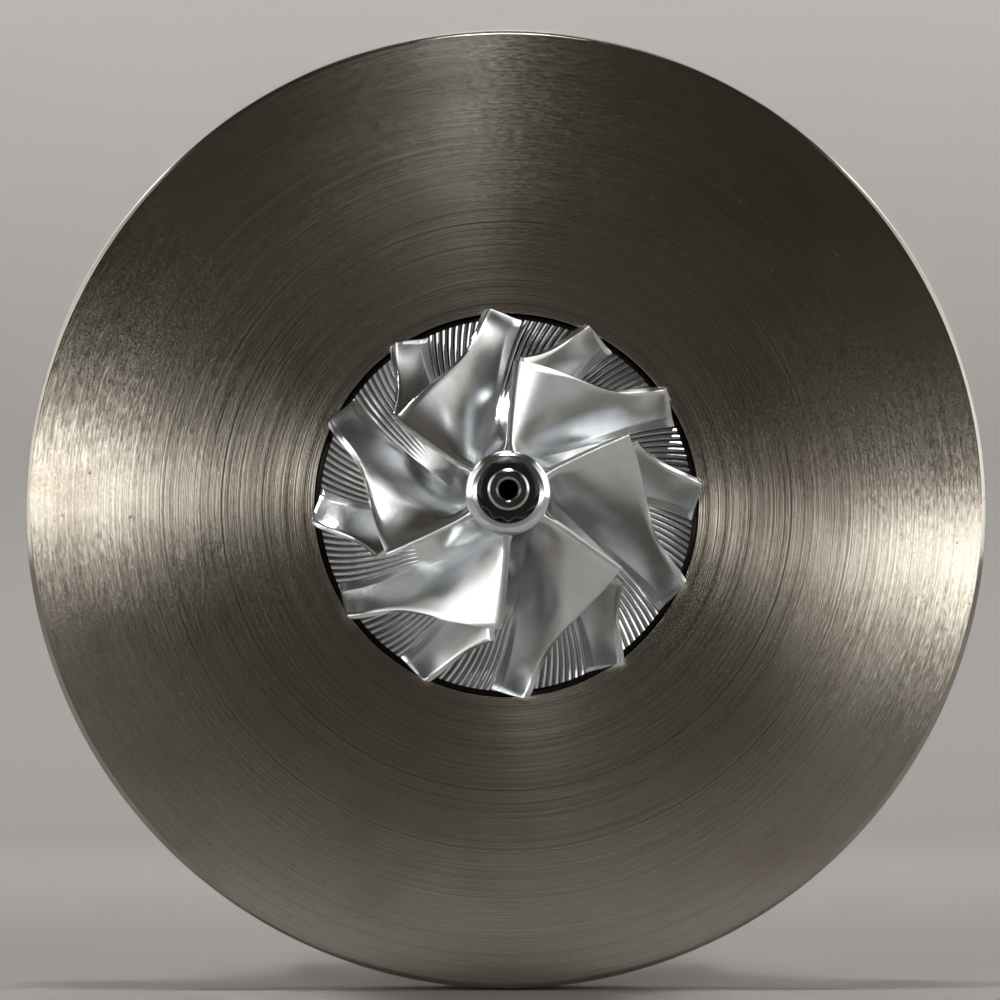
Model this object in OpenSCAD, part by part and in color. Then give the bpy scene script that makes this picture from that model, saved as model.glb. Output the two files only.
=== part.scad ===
// Turbocharger cartridge: rotor, bearing housing, bearings, seals and compressor backplate.
// Sizes are in millimetres. The rotor axis lies along Y and the compressor faces -Y.
// Z points up to the oil inlet. The origin is on the axis, in the backplate's front face.

/* [Backplate] */
// Outside diameter of the backplate
plate_d = 124; // [118:0.5:130]
// Width of the backplate's rim
rim_w = 9; // [8.6:0.1:10]
// Chamfer on the rim's edges
rim_chamfer = 0.6; // [0.3:0.1:0.8]
// Distance from the front face to the joint with the bearing housing
plate_depth = 12; // [11.8:0.1:13]
// Thickness of the web between rim and hub
web_t = 7; // [6:0.1:8]
// Depth of the pocket for the compressor wheel
pocket_depth = 2; // [1.8:0.1:2.4]
// Radial gap between the wheel's back disc and the pocket
pocket_gap = 0.8; // [0.5:0.1:1]
// Section diameter of the O-ring in the rim
cover_ring_t = 2.1; // [1.8:0.1:2.4]

/* [Compressor wheel] */
// Diameter over the blade tips at the outlet
wheel_tip_d = 50; // [49:0.1:52]
// Diameter of the wheel's back disc
wheel_disc_d = 48; // [46:0.1:48.6]
// Diameter over the leading edges of the blades
inducer_d = 33.2; // [31:0.1:35]
// Diameter of the wheel's nose
nose_d = 10.4; // [10:0.1:11.4]
// Distance of the nose from the backplate's face
nose_reach = 23.5; // [22:0.1:26]
// Width of the blades at the outlet
outlet_w = 3.8; // [3.2:0.1:4.4]
// Thickness of the back disc at its rim
wheel_disc_t = 1.4; // [1:0.1:1.5]
// Number of full blades, with as many splitters between them
full_blades = 6; // [5:1:7]
// Turn of a full blade from leading edge to outlet, at the tip
blade_wrap = 51; // [46:1:56]
// Further turn of a blade at its root
root_wrap = 10; // [6:1:12]
// Share of the flow path at which a splitter starts
splitter_start = 0.36; // [0.3:0.01:0.45]
// Blade thickness at the root
blade_root_t = 0.9; // [0.7:0.05:1.1]
// Blade thickness at the tip
blade_tip_t = 0.5; // [0.4:0.05:0.65]

/* [Shaft] */
// Diameter of the stub that carries the compressor wheel
stub_d = 5; // [4.6:0.1:5.4]
// Diameter of the shaft in its bearings
journal_d = 8; // [7.4:0.1:8.4]
// Diameter of the shaft at the turbine seal
seal_hub_d = 14; // [13.4:0.1:14.6]
// Width across the flats of the lock nut
nut_af = 6.5; // [6.1:0.1:6.7]
// Height of the lock nut with its flange
nut_h = 4.8; // [4.4:0.1:5.4]

/* [Bearings] */
// Outside diameter of the floating bearings
bearing_d = 13.2; // [12.4:0.1:13.8]
// Length of a floating bearing
bearing_l = 7; // [6.4:0.1:7.6]
// Distance between the two floating bearings
bearing_gap = 14; // [13:0.5:15]
// Thickness of the thrust bearing
thrust_t = 4; // [3.6:0.1:4.4]
// Diameter of the thrust bearing
thrust_d = 40; // [38.6:0.2:41]
// Diameter of the seal bore on the compressor side
seal_d = 16; // [15.6:0.1:16.6]
// Diameter of the thrust faces
thrust_face_d = 19; // [18.4:0.1:19.6]
// Diameter of the thrust collar inside its bearing
collar_d = 12; // [11.6:0.1:12.4]
// Diameter of the oil slinger
slinger_d = 23; // [22:0.1:24]
// Diameter of the oil chamber round the slinger
chamber_d = 27; // [26.4:0.1:28]
// Distance between the dowel pins of the thrust bearing
dowel_pitch = 30; // [29.4:0.1:31]
// Diameter of a dowel pin
dowel_d = 3; // [2.6:0.1:3.2]
// Thickness of a snap ring
snap_t = 1; // [0.8:0.1:1.1]

/* [Bearing housing] */
// Diameter of the flange on the compressor side
flange_d = 76; // [74:0.5:80]
// Thickness of the flange on the compressor side
flange_t = 7; // [6:0.1:8]
// Diameter of the bolt circle
bolt_circle_d = 62; // [60:0.5:63]
// Diameter of a backplate bolt
bolt_d = 6; // [5:0.5:6.5]
// Diameter of a bolt's flange
bolt_flange_d = 12; // [11:0.1:12]
// Diameter of the barrel between the flanges
barrel_d = 42; // [40:0.5:44]
// Diameter of the flange on the turbine side
turbine_flange_d = 72; // [69:0.5:76]
// Diameter of the register for the turbine housing
register_d = 60; // [58:0.5:62]
// Length of the register
register_l = 2.5; // [2:0.1:3.5]
// Height of the oil inlet face over the axis
inlet_h = 34; // [32:0.5:38]
// Diameter of the oil inlet boss
inlet_boss_d = 24; // [22:0.5:26]
// Diameter of the tapped oil inlet
inlet_d = 10.6; // [9.6:0.1:11.4]
// Depth of the drain face under the axis
drain_h = 44; // [42:0.5:48]
// Bore of the oil drain
drain_d = 18; // [16:0.5:19]
// Distance between the drain bolts
drain_pitch = 40; // [38:0.5:43]
// Length of the drain flange
drain_len = 60; // [58:0.5:64]
// Width of the drain flange
drain_w = 28; // [26:0.5:29]

/* [Turbine] */
// Diameter of the turbine wheel
turbine_d = 43; // [40:0.5:45]
// Diameter over the blades at the gas outlet
exducer_d = 37; // [34:0.5:38.5]
// Length of the turbine wheel from back face to blade ends
turbine_l = 19; // [17:0.5:21]
// Number of turbine blades
turbine_blades = 11; // [9:1:12]
// Thickness of the heat shield's sheet
shield_t = 0.8; // [0.6:0.1:1]

/* [Fits] */
// Radial clearance of a bearing's oil film
film = 0.04; // [0.02:0.01:0.08]
// Radial clearance of located parts
locate = 0.03; // [0.02:0.01:0.06]
// Axial play at each thrust face
play = 0.05; // [0.03:0.01:0.1]

/* [Hidden] */
$fn = 120;

// radii of the backplate
plate_r = plate_d / 2;
pocket_r = wheel_disc_d / 2 + pocket_gap;
ring_groove_r = plate_r - 1.9;
ring_groove_y = [rim_w / 2 - 1.3, rim_w / 2 + 1.3];
flange_r = max(flange_d, bolt_circle_d + 14) / 2;
plate_hub_r = flange_r;
seal_r = seal_d / 2;
chamber_r = chamber_d / 2;
deflector_r = thrust_d / 2 - 3;
deflector_t = 0.8;
deflector_y = plate_depth - deflector_t;
chamber_y = pocket_depth + 6;
// stations of the rotor stack
wheel_back_y = wheel_disc_t;
boss_y = pocket_depth + 1.4;
sleeve_end_y = plate_depth - play;
slinger_y = chamber_y + 0.6;
comp_ring_y = boss_y + 1.5;
ring_w = 1.2;
thrust_seat_y = plate_depth + thrust_t;
collar_y = thrust_seat_y + play;
shoulder_y = thrust_seat_y + 2;
collar_flange_r = thrust_face_d / 2;
collar_r = collar_d / 2;
slinger_r = slinger_d / 2;
dowel_x = dowel_pitch / 2;
dowel_r = dowel_d / 2;
dowel_sink = dowel_d + 1;
notch_w = collar_d + 2;
// stations of the bearing bore
bore_y = shoulder_y + 1.5;
front_bearing_y = bore_y + snap_t + 0.5;
rear_bearing_y = front_bearing_y + bearing_l + bearing_gap;
snap_y = [bore_y + 0.4, front_bearing_y + bearing_l + 0.1, rear_bearing_y - 0.1 - snap_t,
    rear_bearing_y + bearing_l + 0.1];
bore_end_y = snap_y[3] + snap_t + 0.9;
bore_r = bearing_d / 2 + film;
snap_groove_r = bore_r + 0.7;
// turbine end of the housing
slinger_end_y = bore_end_y + 3;
seal_hub_y = bore_end_y + 1.5;
turbine_seal_r = seal_hub_d / 2 + 0.3;
turbine_ring_y = slinger_end_y + 1.2;
turbine_ring_w = 1.5;
housing_end_y = slinger_end_y + 6.5;
turbine_face_y = housing_end_y - register_l;
v_flange_y = turbine_face_y - 8;
shield_dish = 1.8;
turbine_back_y = housing_end_y + shield_dish + shield_t + 0.6;
turbine_end_y = turbine_back_y + turbine_l;
// oil ports
port_y = (front_bearing_y + bearing_l + rear_bearing_y) / 2;
gallery_z = -13;
gallery_r = 5;
inlet_depth = 12;
pad_t = 9;
pad_corner = 7;
drain_hole_r = 3.4;
// lock nut and shaft end
nut_flange_r = max(nut_af / 2 / cos(30) + 0.1, nose_d / 2 - 1.35);
nose_chamfer = 0.8;
nut_flange_t = 1.2;
nut_top_y = -nose_reach - nut_h;
shaft_end_y = nut_top_y - 0.6;
// compressor blade flow path, as [radius, y] at inlet and outlet
wheel_r = wheel_tip_d / 2;
hub_in = [nose_d / 2, 3 - nose_reach];
hub_out = [wheel_disc_d / 2, 0];
tip_in = [inducer_d / 2, 3.9 - nose_reach];
tip_out = [wheel_r, -outlet_w];
// turbine blade flow path, from gas outlet to gas inlet
turb_hub_in = [5.5, turbine_end_y];
turb_hub_out = [turbine_d / 2, turbine_back_y + 1.5];
turb_tip_in = [exducer_d / 2, turbine_end_y - 0.8];
turb_tip_out = [turbine_d / 2, turbine_back_y + 8];
// backplate bolts
bolt_r = bolt_d / 2;
bolt_len = flange_t + 6.5;
bolt_head_h = 6;
bolt_angles = [45, 135, 225, 315];

// Point between a and b at share k
function mix(a, b, k) = a + (b - a) * k;
// Quarter ellipse that leaves a along the axis and reaches b along the radius
function flow(a, b, t) = [a[0] + (b[0] - a[0]) * (1 - cos(90 * t)), a[1] + (b[1] - a[1]) * sin(90 * t)];
// Share of a compressor blade's turn that is done at t
function turn_share(t) = 2.6 * t - 2.67 * t * t + 1.07 * t * t * t;
// Angle of a compressor blade's mean surface
function comp_angle(t, s) = 2.5 * (1 - s) - (blade_wrap + root_wrap * (1 - s)) * turn_share(t);
// Angle of a turbine blade's mean surface
function turb_angle(t, s) = -42 * pow(1 - t, 2);
// Place of a blade's mean surface on the flow path
function comp_path(t, s) = mix(flow(hub_in, hub_out, t), flow(tip_in, tip_out, t), s);
function turb_path(t, s) = mix(flow(turb_hub_in, turb_hub_out, t), flow(turb_tip_in, turb_tip_out, t), s);
// Turns a path point and an angle into a point in space
function polar(p, a) = [p[0] * cos(a), p[1], p[0] * sin(a)];
function mean_point(path, ang, t, s) = polar(path(t, s), ang(t, s));
// Share of the tangential direction in the surface's normal
function facing(path, ang, t, s) =
    let (e = 0.01,
        u = mean_point(path, ang, t + e, s) - mean_point(path, ang, t - e, s),
        v = mean_point(path, ang, t, s + e) - mean_point(path, ang, t, s - e),
        n = cross(u, v),
        a = ang(t, s))
    abs(n * [-sin(a), 0, cos(a)]) / norm(n);
// Point on one side of a blade: side is -1 or 1
function side_point(path, ang, thick, t, s, side) =
    let (p = path(t, s), half = thick(t, s) / 2 / max(0.3, facing(path, ang, t, s)))
    polar(p, ang(t, s) + side * half / p[0] * 180 / PI);

// Solid blade between two flow path limits, from below the hub to the tip.
// flip turns the faces over for a path that runs towards +Y.
module blade(path, ang, thick, t0, steps, spans, sink, flip) {
    n = steps + 1;
    m = spans + 1;
    pts = [for (side = [-1, 1], i = [0:steps], j = [0:spans])
        side_point(path, ang, thick, mix(t0, 1, i / steps), mix(-sink, 1, j / spans), side)];
    function at(k, i, j) = k * n * m + i * m + j;
    skin = [for (k = [0, 1], i = [0:steps - 1], j = [0:spans - 1], h = [0, 1])
        let (q = h == 0 ? [at(k, i, j), at(k, i + 1, j), at(k, i + 1, j + 1)]
            : [at(k, i, j), at(k, i + 1, j + 1), at(k, i, j + 1)])
        k == 0 ? q : [q[2], q[1], q[0]]];
    edge_path = concat([for (i = [0:steps]) [i, 0]], [for (j = [1:spans]) [steps, j]],
        [for (i = [steps - 1:-1:0]) [i, spans]], [for (j = [spans - 1:-1:1]) [0, j]]);
    count = len(edge_path);
    rim = [for (e = [0:count - 1], h = [0, 1])
        let (p = edge_path[e], q = edge_path[(e + 1) % count])
        h == 0 ? [at(0, p[0], p[1]), at(1, q[0], q[1]), at(0, q[0], q[1])]
            : [at(0, p[0], p[1]), at(1, p[0], p[1]), at(1, q[0], q[1])]];
    faces = concat(skin, rim);
    polyhedron(pts, flip ? [for (q = faces) [q[2], q[1], q[0]]] : faces);
}

// Body of revolution about the rotor axis from [radius, y] points
module revolve(points) {
    rotate([-90, 0, 0]) rotate_extrude() polygon(points);
}

// Cylinder along the rotor axis from y0 to y1
module along(r, y0, y1) {
    translate([0, y0, 0]) rotate([-90, 0, 0]) cylinder(r = r, h = y1 - y0);
}

// Flat ring about the rotor axis
module ring(r0, r1, y0, y1) {
    revolve([[r0, y0], [r1, y0], [r1, y1], [r0, y1]]);
}

// Ring with a gap at the given angle, as a snap ring or a piston ring
module split_ring(r0, r1, y0, y1, gap, turn) {
    difference() {
        ring(r0, r1, y0, y1);
        rotate([0, turn, 0]) translate([r0 - 1, y0 - 1, -gap / 2]) cube([r1 - r0 + 2, y1 - y0 + 2, gap]);
    }
}

// Drilling between two points in the plane of the axis
module drill(r, y0, z0, y1, z1) {
    translate([0, y0, z0]) rotate([-atan2(y1 - y0, z1 - z0), 0, 0])
        cylinder(r = r, h = norm([y1 - y0, z1 - z0]));
}

// Places a child at each backplate bolt
module at_bolts() {
    for (a = bolt_angles) translate([bolt_circle_d / 2 * cos(a), 0, bolt_circle_d / 2 * sin(a)]) children();
}

// Turned plate that closes the compressor side and carries the cover
module compressor_backplate() {
    color([0.42, 0.38, 0.35]) difference() {
        revolve([[seal_r, pocket_depth], [pocket_r, pocket_depth], [pocket_r, 0], [plate_r - rim_chamfer, 0],
            [plate_r, rim_chamfer], [plate_r, ring_groove_y[0]], [ring_groove_r, ring_groove_y[0]],
            [ring_groove_r, ring_groove_y[1]], [plate_r, ring_groove_y[1]], [plate_r, rim_w - rim_chamfer],
            [plate_r - rim_chamfer, rim_w], [plate_r - 5, rim_w], [plate_r - 5 - (rim_w - web_t), web_t],
            [plate_hub_r + 2, web_t], [plate_hub_r, web_t + 2], [plate_hub_r, plate_depth],
            [deflector_r + locate, plate_depth], [deflector_r + locate, deflector_y], [chamber_r, deflector_y],
            [chamber_r, chamber_y], [seal_r, chamber_y]]);
        at_bolts() along(bolt_r + locate, plate_depth - 7.2, plate_depth + 1);
    }
}

// O-ring between backplate and compressor cover
module cover_o_ring() {
    color([0.1, 0.1, 0.1]) rotate([-90, 0, 0]) rotate_extrude()
        translate([ring_groove_r + cover_ring_t / 2, rim_w / 2]) circle(d = cover_ring_t, $fn = 40);
}

// O-ring between backplate and bearing housing
module housing_o_ring() {
    color([0.12, 0.1, 0.1]) rotate([-90, 0, 0]) rotate_extrude()
        translate([thrust_d / 2 + 3.7, plate_depth + 0.75]) circle(r = 0.74, $fn = 40);
}

// Outline of the cast housing about the axis
module housing_casting() {
    barrel_r = barrel_d / 2;
    flange_y = plate_depth + flange_t;
    front = [for (i = [0:8]) [barrel_r + 4 * (1 - sin(11.25 * i)), flange_y + 4 * (1 - cos(11.25 * i))]];
    back = [for (i = [0:8]) [barrel_r + 8 * (1 - cos(11.25 * i)), v_flange_y - 7 + 7 * sin(11.25 * i)]];
    tf_r = turbine_flange_d / 2;
    revolve(concat([[0, plate_depth], [flange_r - 0.8, plate_depth], [flange_r, plate_depth + 0.8],
        [flange_r, flange_y - 1.5], [flange_r - 1.5, flange_y]], front, back,
        [[tf_r - 1.5, v_flange_y + 2.6], [tf_r, v_flange_y + 3.6], [tf_r, turbine_face_y - 0.6],
            [tf_r - 0.6, turbine_face_y], [register_d / 2, turbine_face_y], [register_d / 2, housing_end_y - 0.4],
            [register_d / 2 - 0.4, housing_end_y], [0, housing_end_y]]));
}

// Round boss along Z that spreads where it leaves the barrel
module cast_boss(r, h) {
    barrel_r = barrel_d / 2;
    foot = [for (i = [0:6]) [r + 4 * pow(1 - i / 6, 2), mix(barrel_r - 13, barrel_r + 6, i / 6)]];
    rotate_extrude() polygon(concat([[0, 0], [r + 4, 0]], foot, [[r, h - 0.6], [r - 0.6, h], [0, h]]));
}

// Web along the side of the barrel, hollowed between the flanges
module side_web() {
    y0 = plate_depth + flange_t - 1;
    y1 = v_flange_y + 1;
    edge = [for (i = [0:12]) [barrel_d / 2 + 4 + 8 * pow(i / 6 - 1, 2), mix(y0, y1, i / 12)]];
    translate([0, 0, -2.5]) linear_extrude(5)
        polygon(concat([[barrel_d / 2 - 3, y0]], edge, [[barrel_d / 2 - 3, y1]]));
}

// Rounded plate that takes the drain pipe
module drain_pad() {
    translate([0, port_y, -drain_h]) linear_extrude(pad_t) union() {
        square([drain_len - 2 * pad_corner, drain_w], center = true);
        square([drain_len, drain_w - 2 * pad_corner], center = true);
        for (x = [-1, 1], y = [-1, 1])
            translate([x * (drain_len / 2 - pad_corner), y * (drain_w / 2 - pad_corner)]) circle(pad_corner);
    }
}

// Cast housing with bearing bore, oil passages and flanges
module bearing_housing() {
    inlet_floor = inlet_h - inlet_depth;
    color([0.30, 0.29, 0.28]) difference() {
        union() {
            housing_casting();
            translate([0, port_y, 0]) cast_boss(inlet_boss_d / 2, inlet_h);
            translate([0, port_y, 0]) rotate([180, 0, 0]) cast_boss(drain_d / 2 + 5, drain_h - 1);
            drain_pad();
            side_web();
            rotate([0, 180, 0]) side_web();
        }
        along(thrust_d / 2, plate_depth - 1, thrust_seat_y);
        along(chamber_r - 0.5, thrust_seat_y - 1, bore_y);
        along(bore_r, bore_y - 1, bore_end_y + 1);
        for (y = snap_y) along(snap_groove_r, y - 0.04, y + snap_t + 0.04);
        along(bore_r + 5, snap_y[1] + snap_t + 0.6, snap_y[2] - 0.6);
        along(11, bore_end_y, slinger_end_y);
        along(turbine_seal_r, slinger_end_y - 1, housing_end_y + 1);
        translate([0, 0, gallery_z]) along(gallery_r, thrust_seat_y - 1, slinger_end_y);
        translate([0, port_y, -drain_h - 1]) cylinder(d = drain_d, h = drain_h + 1 + gallery_z);
        translate([0, port_y, inlet_floor]) cylinder(d = inlet_d, h = inlet_depth + 1);
        drill(1.6, port_y, inlet_floor + 1.5, front_bearing_y + bearing_l / 2, bore_r - 1);
        drill(1.6, port_y, inlet_floor + 1.5, rear_bearing_y + bearing_l / 2, bore_r - 1);
        drill(1.3, port_y, inlet_floor + 2, thrust_seat_y - 1, 16);
        for (x = [-1, 1]) translate([x * drain_pitch / 2, port_y, -drain_h - 1])
            cylinder(r = drain_hole_r, h = pad_t + 2);
        at_bolts() along(bolt_r + 0.3, plate_depth - 1, plate_depth + flange_t + 1);
        ring(thrust_d / 2 + 2.4, thrust_d / 2 + 5, plate_depth - 1, plate_depth + 1.5);
        for (x = [-1, 1]) translate([x * dowel_x, 0, 0])
            along(dowel_r + locate, thrust_seat_y - 1, thrust_seat_y + dowel_sink + 0.2);
    }
}

// Flanged bolts that hold the backplate to the bearing housing
module backplate_bolts() {
    head_y = plate_depth + flange_t;
    flat = bolt_flange_d / 2 / 1.5;
    top = head_y + bolt_head_h;
    color([0.55, 0.55, 0.56]) at_bolts() {
        along(bolt_r, head_y - bolt_len, head_y + 1);
        revolve([[0, head_y], [bolt_flange_d / 2, head_y], [bolt_flange_d / 2, head_y + 0.7], [flat, head_y + 1.6],
            [0, head_y + 1.6]]);
        intersection() {
            translate([0, head_y + 1, 0]) rotate([-90, 0, 0])
                cylinder(r = flat / cos(30), h = bolt_head_h - 1, $fn = 6);
            revolve([[0, head_y], [flat * 2, head_y], [flat * 2, top - flat * 0.5], [flat * 0.95, top], [0, top]]);
        }
    }
}

// Dished sheet that keeps slung oil away from the seal
module oil_deflector() {
    y = deflector_y;
    hole = collar_flange_r + 0.7;
    rim = chamber_r - 0.7;
    color([0.62, 0.61, 0.58]) revolve([[hole, y - 1], [rim - 1.2, y - 1], [rim, y], [deflector_r, y],
        [deflector_r, plate_depth], [rim - 0.4, plate_depth], [rim - 1.6, y - 0.2], [hole, y - 0.2]]);
}

// Bronze plate that takes the axial load, with oil grooves and a drain notch
module thrust_bearing() {
    color([0.72, 0.55, 0.30]) difference() {
        ring(collar_r + 0.2, thrust_d / 2 - locate, plate_depth, thrust_seat_y);
        for (y = [plate_depth, thrust_seat_y], a = [30:60:330])
            rotate([0, a, 0]) translate([collar_r - 1, y - 0.6, -1]) cube([6, 1.2, 2]);
        for (x = [-1, 1]) translate([x * dowel_x, 0, 0])
            along(dowel_r + locate, plate_depth - 1, thrust_seat_y + 1);
        translate([-notch_w / 2, plate_depth - 1, -thrust_d / 2 - 1])
            cube([notch_w, thrust_t + 2, thrust_d / 2 - collar_flange_r - 1]);
    }
}

// Pins that keep the thrust bearing from turning
module thrust_dowel_pins() {
    color([0.5, 0.5, 0.52]) for (x = [-1, 1])
        translate([x * dowel_x, 0, 0]) along(dowel_r, plate_depth + 0.4, thrust_seat_y + dowel_sink);
}

// Split ring that seals the compressor end
module compressor_piston_ring() {
    color([0.35, 0.35, 0.36]) split_ring(seal_r - 1.3, seal_r - 0.01, comp_ring_y + 0.05,
        comp_ring_y + ring_w + 0.05, 0.4, 40);
}

// Split ring that seals the turbine end
module turbine_piston_ring() {
    color([0.33, 0.32, 0.32]) split_ring(seal_hub_d / 2 - 0.8, turbine_seal_r - 0.01, turbine_ring_y + 0.05,
        turbine_ring_y + 0.05 + turbine_ring_w, 0.4, 220);
}

// Floating bronze bearing with oil holes
module journal_bearing(y) {
    r0 = journal_d / 2 + film;
    r1 = bearing_d / 2;
    color([0.74, 0.57, 0.31]) difference() {
        revolve([[r0 + 0.3, y], [r1 - 0.4, y], [r1, y + 0.4], [r1, y + bearing_l - 0.4], [r1 - 0.4, y + bearing_l],
            [r0 + 0.3, y + bearing_l], [r0, y + bearing_l - 0.3], [r0, y + 0.3]]);
        for (a = [0:60:300]) rotate([0, a, 0]) translate([0, y + bearing_l / 2, 0]) cylinder(r = 0.8, h = r1 + 1);
    }
}

module front_journal_bearing() {
    journal_bearing(front_bearing_y);
}

module rear_journal_bearing() {
    journal_bearing(rear_bearing_y);
}

// Snap ring in one groove of the bearing bore
module snap_ring(k) {
    color([0.4, 0.4, 0.42]) split_ring(bore_r - 1.4, snap_groove_r - 0.02, snap_y[k], snap_y[k] + snap_t, 5, 90);
}

module front_bearing_outer_ring() {
    snap_ring(0);
}

module front_bearing_inner_ring() {
    snap_ring(1);
}

module rear_bearing_inner_ring() {
    snap_ring(2);
}

module rear_bearing_outer_ring() {
    snap_ring(3);
}

// Dished sheet between turbine wheel and bearing housing
module heat_shield() {
    y = housing_end_y;
    hole = seal_hub_d / 2 + 1.2;
    edge = register_d / 2 - 0.8;
    color([0.5, 0.46, 0.42]) revolve([[hole, y + shield_dish], [edge - 9, y + shield_dish], [edge - 7, y],
        [edge, y],
        [edge, y + shield_t], [edge - 6.6, y + shield_t], [edge - 8.6, y + shield_dish + shield_t],
        [hole, y + shield_dish + shield_t]]);
}

// Stepped shaft from the lock nut to the turbine wheel
module rotor_shaft() {
    s = stub_d / 2;
    j = journal_d / 2;
    h = seal_hub_d / 2;
    y = shaft_end_y;
    groove = [turbine_ring_y, turbine_ring_y + turbine_ring_w + 0.1];
    relief = [snap_y[1] + snap_t, snap_y[2]];
    color([0.60, 0.58, 0.56]) revolve([[0, y + 5.6], [1.15, y + 5], [1.15, y + 0.42], [1.57, y], [s - 0.35, y],
        [s, y + 0.35], [s, shoulder_y], [j, shoulder_y], [j, relief[0]], [j - 0.25, relief[0] + 0.25],
        [j - 0.25, relief[1] - 0.25], [j, relief[1]], [j, seal_hub_y - 1], [j + 1, seal_hub_y], [h, seal_hub_y],
        [h, groove[0]], [h - 1.1, groove[0]], [h - 1.1, groove[1]], [h, groove[1]], [h, turbine_back_y],
        [0, turbine_back_y]]);
}

// Cast turbine wheel with scalloped back disc
module turbine_wheel() {
    step = 360 / turbine_blades;
    hub = [for (i = [0:12]) flow(turb_hub_in, turb_hub_out, i / 12)];
    nose_y = turbine_end_y + 2.5;
    thick = function (t, s) mix(1.5, 0.8, s) * (t < 0.05 ? 0.7 : 1);
    path = function (t, s) turb_path(t, s);
    ang = function (t, s) turb_angle(t, s);
    color([0.38, 0.34, 0.31]) union() {
        difference() {
            revolve(concat([[0, nose_y], [4.4, nose_y], [5.5, nose_y - 1]], hub,
                [[turbine_d / 2, turbine_back_y + 0.6], [turbine_d / 2 - 0.6, turbine_back_y],
                    [0, turbine_back_y]]));
            for (k = [0:turbine_blades - 1]) rotate([0, (k + 0.5) * step, 0])
                translate([turbine_d / 2 + 1.6, 0, 0]) along(turbine_d * PI / turbine_blades / 2 - 1.9,
                    turbine_back_y - 1, turbine_back_y + 6);
        }
        for (k = [0:turbine_blades - 1]) rotate([0, k * step, 0]) blade(path, ang, thick, 0, 9, 3, 0.12, false);
        translate([0, nose_y - 0.5, 0]) rotate([-90, 0, 0]) cylinder(d = 8, h = 4, $fn = 6);
    }
}

// Sleeve with the front seal groove, the oil slinger and the front thrust face
module flinger_sleeve() {
    b = stub_d / 2 + locate;
    land = seal_r - 0.3;
    groove = [comp_ring_y, comp_ring_y + ring_w + 0.1];
    color([0.58, 0.57, 0.56]) revolve([[b, boss_y], [land, boss_y], [land, groove[0]], [land - 1.3, groove[0]],
        [land - 1.3, groove[1]], [land, groove[1]], [land, slinger_y], [slinger_r, slinger_y],
        [slinger_r, slinger_y + 1],
        [collar_flange_r, slinger_y + 1], [collar_flange_r, sleeve_end_y], [b, sleeve_end_y]]);
}

// Collar with the rear thrust face
module thrust_collar() {
    b = stub_d / 2 + locate;
    color([0.56, 0.56, 0.57]) revolve([[b, sleeve_end_y], [collar_r, sleeve_end_y], [collar_r, collar_y],
        [collar_flange_r, collar_y], [collar_flange_r, shoulder_y], [b, shoulder_y]]);
}

// Milled compressor wheel with full blades and splitters
module compressor_wheel() {
    step = 360 / full_blades;
    first = -26.6;
    hub = [for (i = [0:16]) flow(hub_in, hub_out, i / 16)];
    thick = function (t, s) mix(blade_root_t, blade_tip_t, s);
    path = function (t, s) comp_path(t, s);
    ang = function (t, s) comp_angle(t, s);
    color([0.80, 0.80, 0.81]) difference() {
        union() {
            revolve(concat([[0, -nose_reach], [nose_d / 2 - nose_chamfer, -nose_reach],
                [nose_d / 2, nose_chamfer - nose_reach]], hub,
                [[wheel_disc_d / 2, wheel_back_y], [seal_r - 1.2, wheel_back_y], [seal_r - 1.2, boss_y],
                    [0, boss_y]]));
            for (k = [0:full_blades - 1]) rotate([0, first - k * step, 0])
                blade(path, ang, thick, 0, 14, 3, 0.09, true);
            for (k = [0:full_blades - 1]) rotate([0, first - (k + 0.5) * step, 0])
                blade(path, ang, thick, splitter_start, 10, 3, 0.09, true);
        }
        along(stub_d / 2 + locate, -nose_reach - 1, boss_y + 1);
    }
}

// Flanged twelve-point nut that clamps the rotor stack
module lock_nut() {
    base = -nose_reach;
    corner = nut_af / 2 / cos(30);
    color([0.13, 0.13, 0.14]) difference() {
        union() {
            revolve([[0, base - nut_flange_t], [nut_flange_r - 0.25, base - nut_flange_t],
                [nut_flange_r, base - nut_flange_t + 0.25], [nut_flange_r, base], [0, base]]);
            intersection() {
                union() for (a = [0, 30]) rotate([0, a, 0]) translate([0, nut_top_y, 0]) rotate([-90, 0, 0])
                    cylinder(r = corner, h = nut_h - 0.5, $fn = 6);
                revolve([[0, nut_top_y], [corner - 0.5, nut_top_y], [corner + 0.2, nut_top_y + 0.5],
                    [corner + 0.2, base], [0, base]]);
            }
        }
        along(stub_d / 2 + locate, nut_top_y - 1, base + 1);
    }
}

compressor_backplate();
cover_o_ring();
housing_o_ring();
bearing_housing();
backplate_bolts();
oil_deflector();
thrust_bearing();
thrust_dowel_pins();
compressor_piston_ring();
turbine_piston_ring();
front_journal_bearing();
rear_journal_bearing();
front_bearing_outer_ring();
front_bearing_inner_ring();
rear_bearing_inner_ring();
rear_bearing_outer_ring();
heat_shield();
rotor_shaft();
turbine_wheel();
flinger_sleeve();
thrust_collar();
compressor_wheel();
lock_nut();
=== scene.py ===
"""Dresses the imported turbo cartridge: finer meshes for the turned and bladed parts, and metal finishes."""

import logging
import math
from collections.abc import Callable, Sequence
from dataclasses import dataclass
from enum import Enum

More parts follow.
